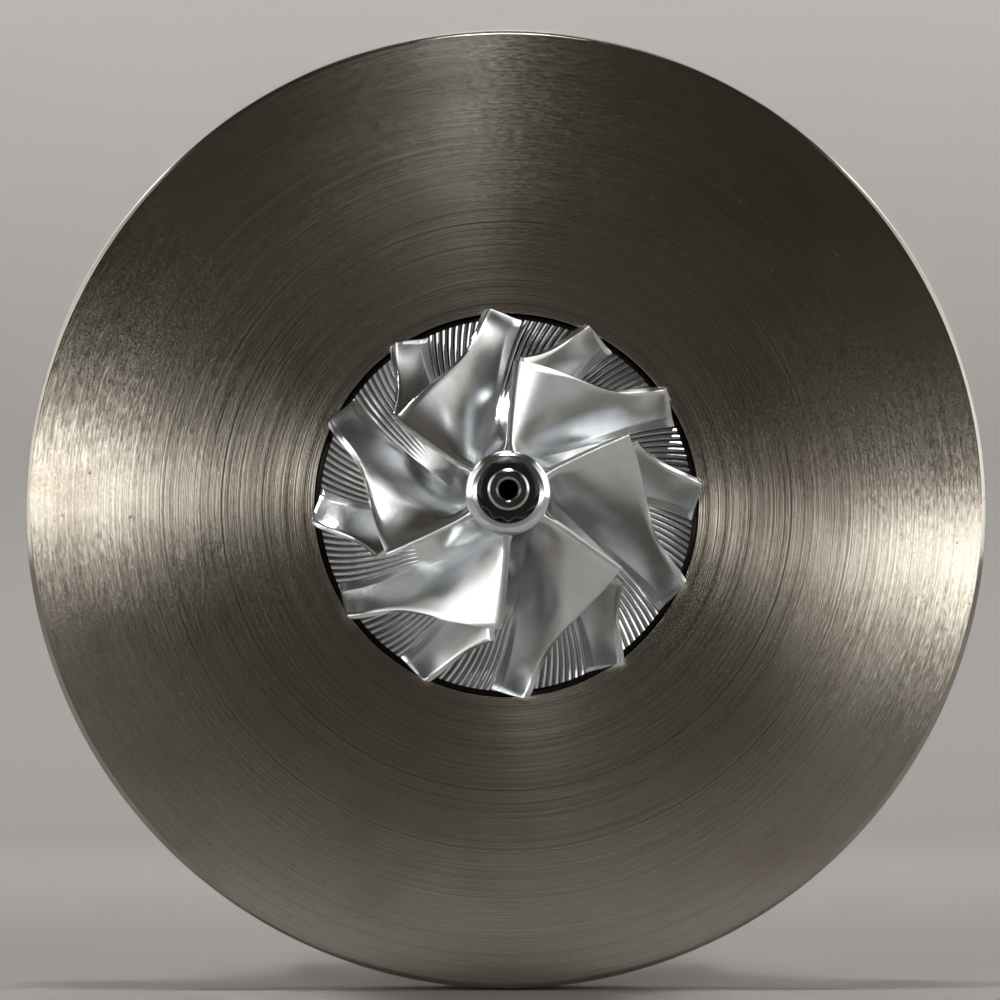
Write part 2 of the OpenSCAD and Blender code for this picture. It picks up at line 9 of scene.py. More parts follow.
import bmesh
import bpy
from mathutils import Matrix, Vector


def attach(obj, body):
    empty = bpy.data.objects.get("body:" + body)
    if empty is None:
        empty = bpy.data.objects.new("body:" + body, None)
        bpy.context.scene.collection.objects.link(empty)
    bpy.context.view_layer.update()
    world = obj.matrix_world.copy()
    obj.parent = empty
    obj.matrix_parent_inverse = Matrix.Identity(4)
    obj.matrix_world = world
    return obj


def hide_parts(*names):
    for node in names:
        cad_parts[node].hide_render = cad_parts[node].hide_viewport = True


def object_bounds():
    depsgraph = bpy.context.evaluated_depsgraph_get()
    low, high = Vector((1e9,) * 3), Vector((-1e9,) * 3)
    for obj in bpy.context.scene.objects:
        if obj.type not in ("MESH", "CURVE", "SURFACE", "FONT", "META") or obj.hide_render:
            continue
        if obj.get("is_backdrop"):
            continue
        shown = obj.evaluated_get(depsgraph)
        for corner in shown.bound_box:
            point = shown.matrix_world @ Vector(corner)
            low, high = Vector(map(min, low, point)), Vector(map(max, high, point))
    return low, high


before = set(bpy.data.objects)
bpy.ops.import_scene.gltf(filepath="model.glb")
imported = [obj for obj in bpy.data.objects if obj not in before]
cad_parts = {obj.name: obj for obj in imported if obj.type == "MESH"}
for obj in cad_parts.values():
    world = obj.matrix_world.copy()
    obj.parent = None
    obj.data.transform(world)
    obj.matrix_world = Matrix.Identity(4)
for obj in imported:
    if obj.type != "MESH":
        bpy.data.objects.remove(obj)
CAD_LOW, CAD_HIGH = (Vector(corner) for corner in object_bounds())

MM = 0.001
LOG = logging.getLogger("cartridge")
Number = float | int


class Body(Enum):
    """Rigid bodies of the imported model."""

    HOUSING = "housing"
    ROTOR = "rotor"


class Value:
    """One output socket, with the operators that shader maths needs."""

    def __init__(self, graph: "Graph", socket: bpy.types.NodeSocket) -> None:
        """Keeps the graph and the socket."""
        self.graph = graph
        self.socket = socket

    def _math(self, operation: str, first: "Value | Number", second: "Value | Number" = 0.0) -> "Value":
        """Adds a Math node.

        Args:
            operation: name of the node's operation.
            first: first operand.
            second: second operand.

        Returns:
            The node's result.
        """
        return self.graph.node("ShaderNodeMath", {"operation": operation}, {0: first, 1: second})

    def __add__(self, other: "Value | Number") -> "Value":
        """Sum."""
        return self._math("ADD", self, other)

    def __radd__(self, other: Number) -> "Value":
        """Sum with a number on the left."""
        return self._math("ADD", other, self)

    def __sub__(self, other: "Value | Number") -> "Value":
        """Difference."""
        return self._math("SUBTRACT", self, other)

    def __rsub__(self, other: Number) -> "Value":
        """Difference from a number on the left."""
        return self._math("SUBTRACT", other, self)

    def __mul__(self, other: "Value | Number") -> "Value":
        """Product."""
        return self._math("MULTIPLY", self, other)

    def __rmul__(self, other: Number) -> "Value":
        """Product with a number on the left."""
        return self._math("MULTIPLY", other, self)

    def __truediv__(self, other: "Value | Number") -> "Value":
        """Quotient."""
        return self._math("DIVIDE", self, other)

    def __abs__(self) -> "Value":
        """Size without its sign."""
        return self._math("ABSOLUTE", self)

    def at_most(self, other: "Value | Number") -> "Value":
        """The lesser of two values."""
        return self._math("MINIMUM", self, other)

    def at_least(self, other: "Value | Number") -> "Value":
        """The greater of two values."""
        return self._math("MAXIMUM", self, other)

    def above(self, limit: Number) -> "Value":
        """One where the value is over the limit, else zero."""
        return self._math("GREATER_THAN", self, limit)

    def ease(self, low: Number, high: Number) -> "Value":
        """Smooth step from zero at low to one at high.

        Args:
            low: value that gives zero.
            high: value that gives one.

        Returns:
            The eased value.
        """
        settings = {"interpolation_type": "SMOOTHSTEP"}
        return self.graph.node("ShaderNodeMapRange", settings, {0: self, 1: low, 2: high, 3: 0.0, 4: 1.0})


class Graph:
    """Node tree of one material with a Principled shader."""

    def __init__(self, name: str) -> None:
        """Starts an empty material with the given name."""
        self.material = bpy.data.materials.new(name)
        self.material.use_nodes = True
        self.tree = self.material.node_tree
        self.tree.nodes.clear()
        self.out = self.tree.nodes.new("ShaderNodeOutputMaterial")
        self.shader = self.tree.nodes.new("ShaderNodeBsdfPrincipled")
        self.tree.links.new(self.shader.outputs[0], self.out.inputs[0])

    def node(self, kind: str, settings: dict[str, object], inputs: dict[int | str, object],
             output: int | str = 0) -> Value:
        """Adds a node.

        Args:
            kind: Blender's type name.
            settings: properties of the node, set before its sockets.
            inputs: socket index or name to a value or a link.
            output: index or name of the output that is wanted.

        Returns:
            The wanted output.
        """
        made = self.tree.nodes.new(kind)
        for key, value in settings.items():
            setattr(made, key, value)
        for key, value in inputs.items():
            self.feed(made.inputs[key], value)
        return Value(self, made.outputs[output])

    def feed(self, socket: bpy.types.NodeSocket, value: object) -> None:
        """Links or sets one input socket.

        Args:
            socket: the socket to feed.
            value: a Value, a number, or a tuple for a colour or vector.
        """
        if isinstance(value, Value):
            self.tree.links.new(value.socket, socket)
        elif socket.type == "RGBA" and len(value) == 3:
            socket.default_value = (*value, 1.0)
        else:
            socket.default_value = value

    def surface(self, **inputs: object) -> bpy.types.Material:
        """Feeds the Principled shader.

        Args:
            inputs: socket names, with underscores for spaces, and what they get.

        Returns:
            The finished material.
        """
        for key, value in inputs.items():
            self.feed(self.shader.inputs[key.replace("_", " ")], value)
        return self.material

    def place(self) -> Value:
        """Object coordinates of the shaded point."""
        return self.node("ShaderNodeTexCoord", {}, {}, "Object")

    def normal(self) -> Value:
        """Geometry normal of the shaded point."""
        return self.node("ShaderNodeNewGeometry", {}, {}, "Normal")

    def split(self, vector: Value) -> tuple[Value, Value, Value]:
        """Splits a vector into its three parts."""
        first = self.node("ShaderNodeSeparateXYZ", {}, {0: vector})
        outputs = first.socket.node.outputs
        return first, Value(self, outputs[1]), Value(self, outputs[2])

    def join(self, x: Value | Number, y: Value | Number, z: Value | Number) -> Value:
        """Joins three numbers into a vector."""
        return self.node("ShaderNodeCombineXYZ", {}, {0: x, 1: y, 2: z})

    def vector(self, operation: str, first: object, second: object = (0.0, 0.0, 0.0),
               scale: object = 1.0) -> Value:
        """Adds a Vector Math node.

        Args:
            operation: name of the node's operation.
            first: first vector.
            second: second vector.
            scale: number for the operation SCALE.

        Returns:
            The vector result.
        """
        sockets = {0: first, "Scale": scale} if operation == "SCALE" else {0: first, 1: second}
        return self.node("ShaderNodeVectorMath", {"operation": operation}, sockets)

    def dot(self, first: Value, second: Value) -> Value:
        """Dot product of two vectors."""
        return self.node("ShaderNodeVectorMath", {"operation": "DOT_PRODUCT"}, {0: first, 1: second}, "Value")

    def from_axis(self, x: Value, z: Value) -> Value:
        """Distance from the rotor axis."""
        return self.node("ShaderNodeVectorMath", {"operation": "LENGTH"}, {0: self.join(x, 0.0, z)}, "Value")

    def noise(self, place: Value, scale: float, detail: float = 2.0, rough: float = 0.5) -> Value:
        """Noise in space.

        Args:
            place: coordinates in metres.
            scale: cells per metre.
            detail: number of finer layers.
            rough: strength of the finer layers.

        Returns:
            A value about one half.
        """
        sockets = {"Vector": place, "Scale": scale, "Detail": detail, "Roughness": rough}
        return self.node("ShaderNodeTexNoise", {"noise_dimensions": "3D"}, sockets)

    def line_noise(self, along: Value, detail: float = 2.0, rough: float = 0.6) -> Value:
        """Noise along one number.

        Args:
            along: the number, one cell per unit.
            detail: number of finer layers.
            rough: strength of the finer layers.

        Returns:
            A value about one half.
        """
        sockets = {"W": along, "Scale": 1.0, "Detail": detail, "Roughness": rough}
        return self.node("ShaderNodeTexNoise", {"noise_dimensions": "1D"}, sockets)

    def mix(self, share: Value | Number, first: object, second: object) -> Value:
        """Mixes two colours.

        Args:
            share: share of the second colour.
            first: colour at zero.
            second: colour at one.

        Returns:
            The mixed colour.
        """
        settings = {"data_type": "RGBA", "clamp_factor": True}
        return self.node("ShaderNodeMix", settings, {0: share, 6: first, 7: second}, 2)

    def bump(self, height: Value, distance: float) -> Value:
        """Normal from a height.

        Args:
            height: height as a value from zero to one.
            distance: metres of relief for a height of one.

        Returns:
            The bent normal.
        """
        return self.node("ShaderNodeBump", {}, {"Height": height, "Distance": distance, "Strength": 1.0})


Colour = tuple[float, float, float]


@dataclass(frozen=True)
class TurnedFace:
    """Face turned on a lathe, whose fine grooves spread the light along the radius, with painted shade in its
    pocket.
    """

    name: str = "turned_plate"
    light: Colour = (0.485, 0.455, 0.405)
    dark: Colour = (0.385, 0.355, 0.31)
    stain: Colour = (0.26, 0.225, 0.18)
    pocket_shade: Colour = (0.045, 0.042, 0.04)
    dust: Colour = (0.34, 0.31, 0.27)
    rough: float = 0.13
    spread: float = 0.35
    glint: float = 0.042
    strokes: float = 46.0
    stroke_rings: float = 3800.0
    fine_rings: float = 40000.0
    middle_rings: float = 3600.0
    wide_rings: float = 260.0
    patch_scale: float = 42.0
    grain_scale: float = 2600.0
    pit_scale: float = 900.0
    fleck_scale: float = 1300.0
    pocket_r: float = 0.0249
    pocket_y: tuple[float, float] = (0.0002, 0.004)

    def build(self) -> bpy.types.Material:
        """Makes the material.

        Returns:
            The finished material.
        """
        g = Graph(self.name)
        place = g.place()
        x, y, z = g.split(place)
        radius = g.from_axis(x, z)
        normal = g.normal()
        facing = abs(g.split(normal)[1])
        flat = facing.ease(0.6, 0.95)
        fine = g.line_noise(radius * self.fine_rings, 1.0, 0.5) - 0.5
        middle = g.line_noise(radius * self.middle_rings, 2.0, 0.6) - 0.5
        wide = g.line_noise(radius * self.wide_rings, 2.0, 0.5) - 0.5
        tilt = (fine * 1.6 + middle * 0.25) * self.spread * flat
        turned = g.join(x / radius * self.strokes, radius * self.stroke_rings, z / radius * self.strokes)
        stroke = g.noise(turned, 1.0, 2.0, 0.6) - 0.5
        outward = g.vector("NORMALIZE", g.join(x, 0.0, z))
        around = g.vector("CROSS_PRODUCT", outward, (0.0, 1.0, 0.0))
        bent = g.vector("ADD", normal, g.vector("SCALE", outward, scale=tilt))
        bent = g.vector("ADD", bent, g.vector("SCALE", around, scale=stroke * self.glint * flat))
        bent = g.vector("NORMALIZE", bent)
        patches = g.noise(place, self.patch_scale, 4.0, 0.6)
        grain = g.noise(place, self.grain_scale, 2.0, 0.5)
        pits = g.noise(place, self.pit_scale, 1.0, 0.4).ease(0.74, 0.80)
        flecks = g.noise(place, self.fleck_scale, 2.0, 0.5).ease(0.70, 0.80) * flat * 0.4
        rings = (middle * 0.6 + wide * 0.5 + stroke * 0.9 + 0.5).at_least(0.0).at_most(1.0)
        tone = g.mix(rings, self.dark, self.light)
        tone = g.mix(patches.ease(0.45, 0.75) * 0.5, tone, self.stain)
        tone = g.mix(pits * 0.55, tone, self.stain)
        # Painted shade: the floor and wall of the pocket round the wheel are painted near black.
        inside = y.above(self.pocket_y[0]) * (1.0 - y.above(self.pocket_y[1]))
        pocket = (1.0 - radius.above(self.pocket_r)) * inside
        tone = g.mix(pocket, g.mix(flecks, tone, self.dust), self.pocket_shade)
        rough = self.rough + (grain - 0.5) * 0.12 + (patches - 0.5) * 0.12 + pits * 0.1 + flecks * 0.3
        return g.surface(Base_Color=tone, Metallic=1.0 - flecks * 0.5, Roughness=rough, Normal=bent)


@dataclass(frozen=True)
class MilledAluminium:
    """Polished aluminium with faint cutter marks; the valleys of the hub's cutter grooves take painted shade.
    """

    name: str = "milled_aluminium"
    light: Colour = (0.86, 0.885, 0.90)
    dark: Colour = (0.73, 0.755, 0.77)
    rough: float = 0.215
    grain: float = 900.0
    relief: float = 0.000008
    cloud_scale: float = 160.0
    groove_from: float = 1.0
    groove_fade: float = 0.003
    groove_shade: Colour = (0.05, 0.05, 0.054)

    def build(self) -> bpy.types.Material:
        """Makes the material.

        Returns:
            The finished material.
        """
        g = Graph(self.name)
        place = g.place()
        x, y, z = g.split(place)
        stretched = g.join(x, y * 0.25, z)
        marks = g.noise(stretched, self.grain, 3.0, 0.6)
        cloud = g.noise(place, self.cloud_scale, 3.0, 0.55)
        tone = g.mix(cloud.ease(0.35, 0.7), self.light, self.dark)
        # Painted shade: beyond groove_from from the axis, where the normal turns least around the axis (the
        # groove valleys), the surface is painted near black.
        around = g.vector("CROSS_PRODUCT", g.vector("NORMALIZE", g.join(x, 0.0, z)), (0.0, 1.0, 0.0))
        slope = abs(g.dot(g.normal(), around))
        depth = g.from_axis(x, z).ease(self.groove_from, self.groove_from + self.groove_fade)
        tone = g.mix((1.0 - slope.ease(0.10, 0.50)) * depth * 0.92, tone, self.groove_shade)
        rough = self.rough + (cloud - 0.5) * 0.05 + (marks - 0.5) * 0.02
        return g.surface(Base_Color=tone, Metallic=1.0, Roughness=rough, Normal=g.bump(marks, self.relief))


@dataclass(frozen=True)
class CastIron:
    """Sand-cast iron whose machined faces are bare and bright."""

    name: str = "cast_housing"
    skin: Colour = (0.135, 0.128, 0.122)
    dust: Colour = (0.20, 0.17, 0.145)
    pore: Colour = (0.07, 0.066, 0.062)
    bare: Colour = (0.52, 0.50, 0.48)
    top: float = 0.0338
    bottom: float = -0.0438
    front: float = 0.0122
    inlet: tuple[float, float] = (0.021, 0.0475)
    flange_r: float = 0.0295
    sand_scale: float = 1500.0
    lump_scale: float = 260.0
    cut_lines: float = 2500.0
    relief: float = 0.00055

    def build(self) -> bpy.types.Material:
        """Makes the material.

        Returns:
            The finished material.
        """
        g = Graph(self.name)
        place = g.place()
        x, y, z = g.split(place)
        radius = g.from_axis(x, z)
        sand = g.noise(place, self.sand_scale, 4.0, 0.65)
        lumps = g.noise(place, self.lump_scale, 3.0, 0.5)
        boss = y.above(self.inlet[0]) * (1.0 - y.above(self.inlet[1]))
        cut = (z.above(self.top) * boss).at_least(1.0 - z.above(self.bottom))
        cut = cut.at_least(y.above(self.inlet[1]) * radius.above(self.flange_r))
        cut = cut.at_least(1.0 - y.above(self.front))
        lines = g.line_noise(radius * self.cut_lines + y * self.cut_lines, 2.0, 0.6)
        tone = g.mix(lumps.ease(0.40, 0.75) * 0.7, self.skin, self.dust)
        tone = g.mix(sand.ease(0.54, 0.72) * 0.6, tone, self.pore)
        tone = g.mix(cut, tone, self.bare)
        rough = (0.62 + (sand - 0.5) * 0.3) * (1.0 - cut) + (0.30 + (lines - 0.5) * 0.2) * cut
        height = (sand * 0.7 + lumps * 0.8) * (1.0 - cut) + lines * 0.08 * cut
        return g.surface(Base_Color=tone, Metallic=cut * 0.45 + 0.55, Roughness=rough,
                         Normal=g.bump(height, self.relief))


@dataclass(frozen=True)
class RoundSteel:
    """Steel or bronze turned or ground about the rotor axis; the shaft's end and its centre hole can take
    painted shade.
    """

    name: str
    light: Colour
    dark: Colour
    rough: float = 0.26
    lines: float = 4200.0
    relief: float = 0.000010
    cloud_scale: float = 240.0
    end_y: float = -1.0
    end_shade: Colour = (0.12, 0.12, 0.12)
    hole_r: float = 0.0
    hole_shade: Colour = (0.012, 0.012, 0.012)

    def build(self) -> bpy.types.Material:
        """Makes the material.

        Returns:
            The finished material.
        """
        g = Graph(self.name)
        place = g.place()
        x, y, z = g.split(place)
        radius = g.from_axis(x, z)
        rings = g.line_noise((radius + y) * self.lines, 3.0, 0.65)
        cloud = g.noise(place, self.cloud_scale, 3.0, 0.55)
        tone = g.mix(rings * 0.5 + cloud.ease(0.35, 0.75) * 0.5, self.light, self.dark)
        # Painted shade: past end_y the end of the shaft is painted dark.
        tone = g.mix(1.0 - y.above(self.end_y), tone, self.end_shade)
        # Painted shade: inside hole_r the centre hole is painted near black.
        tone = g.mix(1.0 - radius.above(self.hole_r), tone, self.hole_shade)
        rough = self.rough + (rings - 0.5) * 0.16 + (cloud - 0.5) * 0.14
        return g.surface(Base_Color=tone, Metallic=1.0, Roughness=rough, Normal=g.bump(rings, self.relief))


@dataclass(frozen=True)
class GrainedMetal:
    """Cast or pressed alloy with a fine grain and a heat tint."""

    name: str
    light: Colour
    dark: Colour
    tint: Colour
    rough: float = 0.42
    grain: float = 1800.0
    relief: float = 0.00004
    cloud_scale: float = 120.0

    def build(self) -> bpy.types.Material:
        """Makes the material.

        Returns:
            The finished material.
        """
        g = Graph(self.name)
        place = g.place()
        grain = g.noise(place, self.grain, 4.0, 0.6)
        cloud = g.noise(place, self.cloud_scale, 4.0, 0.6)
        tone = g.mix(grain.ease(0.3, 0.7), self.dark, self.light)
        tone = g.mix(cloud.ease(0.45, 0.72) * 0.6, tone, self.tint)
        rough = self.rough + (grain - 0.5) * 0.25 + (cloud - 0.5) * 0.2
        return g.surface(Base_Color=tone, Metallic=1.0, Roughness=rough, Normal=g.bump(grain, self.relief))


@dataclass(frozen=True)
class SealRubber:
    """Black seal rubber with a dusty bloom."""

    name: str = "seal_rubber"
    base: Colour = (0.012, 0.012, 0.013)
    bloom: Colour = (0.04, 0.04, 0.042)
    cloud_scale: float = 300.0
    grain_scale: float = 5000.0
    relief: float = 0.000015

    def build(self) -> bpy.types.Material:
        """Makes the material.

        Returns:
            The finished material.
        """
        g = Graph(self.name)
        place = g.place()
        cloud = g.noise(place, self.cloud_scale, 4.0, 0.6)
        grain = g.noise(place, self.grain_scale, 2.0, 0.5)
        tone = g.mix(cloud.ease(0.4, 0.8), self.base, self.bloom)
        rough = 0.5 + (cloud - 0.5) * 0.3
        return g.surface(Base_Color=tone, Roughness=rough, Normal=g.bump(grain, self.relief))


@dataclass(frozen=True)
class FlowPath:
    """Hub and tip lines of a bladed wheel as (radius, y) points in millimetres."""

    hub_in: tuple[float, float]
    hub_out: tuple[float, float]
    tip_in: tuple[float, float]
    tip_out: tuple[float, float]

    @staticmethod
    def quarter(start: tuple[float, float], end: tuple[float, float], t: float) -> tuple[float, float]:
        """Point on the quarter ellipse that leaves start along the axis.

        Args:
            start: first point.
            end: last point, reached along the radius.
            t: share of the way.

        Returns:
            Radius and y in millimetres.
        """
        turn = math.radians(90.0 * t)
        return (start[0] + (end[0] - start[0]) * (1.0 - math.cos(turn)),
                start[1] + (end[1] - start[1]) * math.sin(turn))

    def hub(self, t: float) -> tuple[float, float]:
        """Point on the hub line."""
        return self.quarter(self.hub_in, self.hub_out, t)

    def point(self, t: float, s: float) -> tuple[float, float]:
        """Point between the hub line and the tip line.

        Args:
            t: share of the way along the flow.
            s: share of the way from hub to tip.

        Returns:
            Radius and y in millimetres.
        """
        hub = self.hub(t)
        tip = self.quarter(self.tip_in, self.tip_out, t)
        return hub[0] + (tip[0] - hub[0]) * s, hub[1] + (tip[1] - hub[1]) * s


def polar(radius: float, y: float, degrees: float) -> Vector:
    """Point about the rotor axis.

    Args:
        radius: distance from the axis in millimetres.
        y: place along the axis in millimetres.
        degrees: angle from +X towards +Z.

    Returns:
        The point in metres.
    """
    turn = math.radians(degrees)
    return Vector((radius * math.cos(turn), y, radius * math.sin(turn))) * MM


@dataclass(frozen=True)
class BladeSet:
    """Equal blades on one flow path."""

    path: FlowPath
    angle: Callable[[float, float], float]
    count: int
    first: float
    start: float
    root_t: float
    tip_t: float
    sink: float
    fillet: float = 0.35
    columns: int = 30
    rows: int = 14

    def facing(self, t: float, s: float) -> float:
        """Share of the tangential direction in the blade surface's normal.

        Args:
            t: share of the way along the flow.
            s: share of the way from hub to tip.

        Returns:
            A number from zero to one.
        """
        step = 0.01

        def mean(a: float, b: float) -> Vector:
            """Point of the mean surface."""
            return polar(*self.path.point(a, b), self.angle(a, b))

        along = mean(t + step, s) - mean(t - step, s)
        across = mean(t, s + step) - mean(t, s - step)
        normal = along.cross(across).normalized()
        turn = math.radians(self.angle(t, s))
        return abs(normal.dot(Vector((-math.sin(turn), 0.0, math.cos(turn)))))

    def stations(self) -> list[tuple[float, float]]:
        """Flow shares along one side, each with its share of the full thickness.

        Returns:
            Pairs from the leading edge to the trailing edge.
        """
        edge = [(0.0, 0.0), (0.0, 0.55), (0.003, 0.84), (0.010, 1.0)]
        inner = [(0.010 + 0.984 * (k / self.columns), 1.0) for k in range(1, self.columns)]
        last = [(0.994, 1.0), (1.0, 0.85), (1.0, 0.0)]
        return [(self.start + (1.0 - self.start) * t, w) for t, w in edge + inner + last]

    def half_thickness(self, t: float, s: float) -> float:
        """Half of the blade's thickness square to its face, with a fillet at the root."""
        plain = self.root_t + (self.tip_t - self.root_t) * s
        foot = max(0.0, 1.0 - max(0.0, s) / 0.10)
        return plain / 2.0 + self.fillet * foot * foot

    def add_to(self, bm: bmesh.types.BMesh) -> None:
        """Adds the blades to a mesh.

        Args:
            bm: mesh that takes the blades.
        """
        side = self.stations()
        loop = [(t, w) for t, w in side] + [(t, -w) for t, w in reversed(side[:-1])]
        spans = [-self.sink + (1.0 + self.sink) * (k / self.rows) for k in range(self.rows + 1)]
        levels = [(s, 1.0) for s in spans[:-1]] + [(0.994, 1.0), (1.0, 0.86), (1.0, 0.0)]
        table: list[list[tuple[float, float, float, float]]] = []
        for s, closing in levels:
            line = []
            for t, width in loop:
                radius, y = self.path.point(t, s)
                half = self.half_thickness(t, s) / max(0.3, self.facing(t, s))
                line.append((radius, y, self.angle(t, s), math.degrees(half * width * closing / radius)))
            table.append(line)
        for k in range(self.count):
            turn = self.first + 360.0 / self.count * k
            made = bmesh.ops.create_grid(bm, x_segments=len(loop) - 1, y_segments=len(levels) - 1, size=1.0)
            for vert in made["verts"]:
                column = round((vert.co.x + 1.0) / 2.0 * (len(loop) - 1))
                row = round((vert.co.y + 1.0) / 2.0 * (len(levels) - 1))
                radius, y, angle, half = table[row][column]
                vert.co = polar(radius, y, angle + half + turn)


def smooth_by_angle(bm: bmesh.types.BMesh, limit: float = 32.0) -> None:
    """Shades a mesh smooth, with sharp edges past a limit.

    Args:
        bm: the mesh.
        limit: largest smooth angle in degrees.
    """
    for face in bm.faces:
        face.smooth = True
    for edge in bm.edges:
        edge.smooth = len(edge.link_faces) == 2 and edge.calc_face_angle(0.0) < math.radians(limit)


def finish_mesh(bm: bmesh.types.BMesh, name: str, limit: float = 32.0) -> bpy.types.Object:
    """Closes a mesh and makes it an object at the origin.

    Args:
        bm: the mesh, which is freed.
        name: name of the piece.
        limit: largest smooth angle in degrees.

    Returns:
        The new object.
    """
    bmesh.ops.remove_doubles(bm, verts=bm.verts, dist=1e-7)
    bmesh.ops.recalc_face_normals(bm, faces=bm.faces)
    smooth_by_angle(bm, limit)
    mesh = bpy.data.meshes.new(name)
    bm.to_mesh(mesh)
    bm.free()
    made = bpy.data.objects.new(name, mesh)
    bpy.context.scene.collection.objects.link(made)
    return made


def spin_profile(bm: bmesh.types.BMesh, points: Sequence[tuple[float, float]], steps: int) -> None:
    """Spins a closed profile about the rotor axis.

    Args:
        bm: mesh that takes the shape.
        points: profile as (radius, y) in millimetres.
        steps: number of segments in a full turn.
    """
    verts = [bm.verts.new(polar(radius, y, 0.0)) for radius, y in points]
    edges = [bm.edges.new(pair) for pair in zip(verts, verts[1:] + verts[:1])]
    bmesh.ops.spin(bm, geom=verts + edges, cent=(0.0, 0.0, 0.0), axis=(0.0, 1.0, 0.0), angle=2.0 * math.pi,
                   steps=steps, use_merge=True)


def rounded(points: Sequence[tuple[float, float, float]], steps: int = 4) -> list[tuple[float, float]]:
    """Rounds the corners of a closed profile.

    Args:
        points: corners as (radius, y, corner radius) in millimetres.
        steps: segments in each rounded corner.

    Returns:
        Profile points as (radius, y).
    """
    out: list[tuple[float, float]] = []
    count = len(points)
    for k, (x, y, size) in enumerate(points):
        if size <= 0.0:
            out.append((x, y))
            continue
        here = Vector((x, y))
        before = (Vector(points[k - 1][:2]) - here).normalized()
        after = (Vector(points[(k + 1) % count][:2]) - here).normalized()
        start, end = here + before * size, here + after * size
        for i in range(steps + 1):
            t = i / steps
            spot = start * (1 - t) * (1 - t) + here * 2 * t * (1 - t) + end * t * t
            out.append((spot.x, spot.y))
    return out


def put(piece: bpy.types.Object, body: Body, slot: str, material: bpy.types.Material, *nodes: str) -> None:
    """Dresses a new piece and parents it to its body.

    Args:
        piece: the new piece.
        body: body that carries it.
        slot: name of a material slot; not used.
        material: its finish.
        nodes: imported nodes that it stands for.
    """
    piece.data.materials.clear()
    piece.data.materials.append(material)
    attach(piece, body.value)
    if nodes:
        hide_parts(*nodes)
    LOG.info("piece %s on %s", piece.name, body.value)


def dress(node: str, material: bpy.types.Material) -> None:
    """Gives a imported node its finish.

    Args:
        node: name of the node.
        material: its finish.
    """
    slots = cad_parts[node].data.materials
    slots.clear()
    slots.append(material)
    LOG.info("node %s in %s", node, material.name)


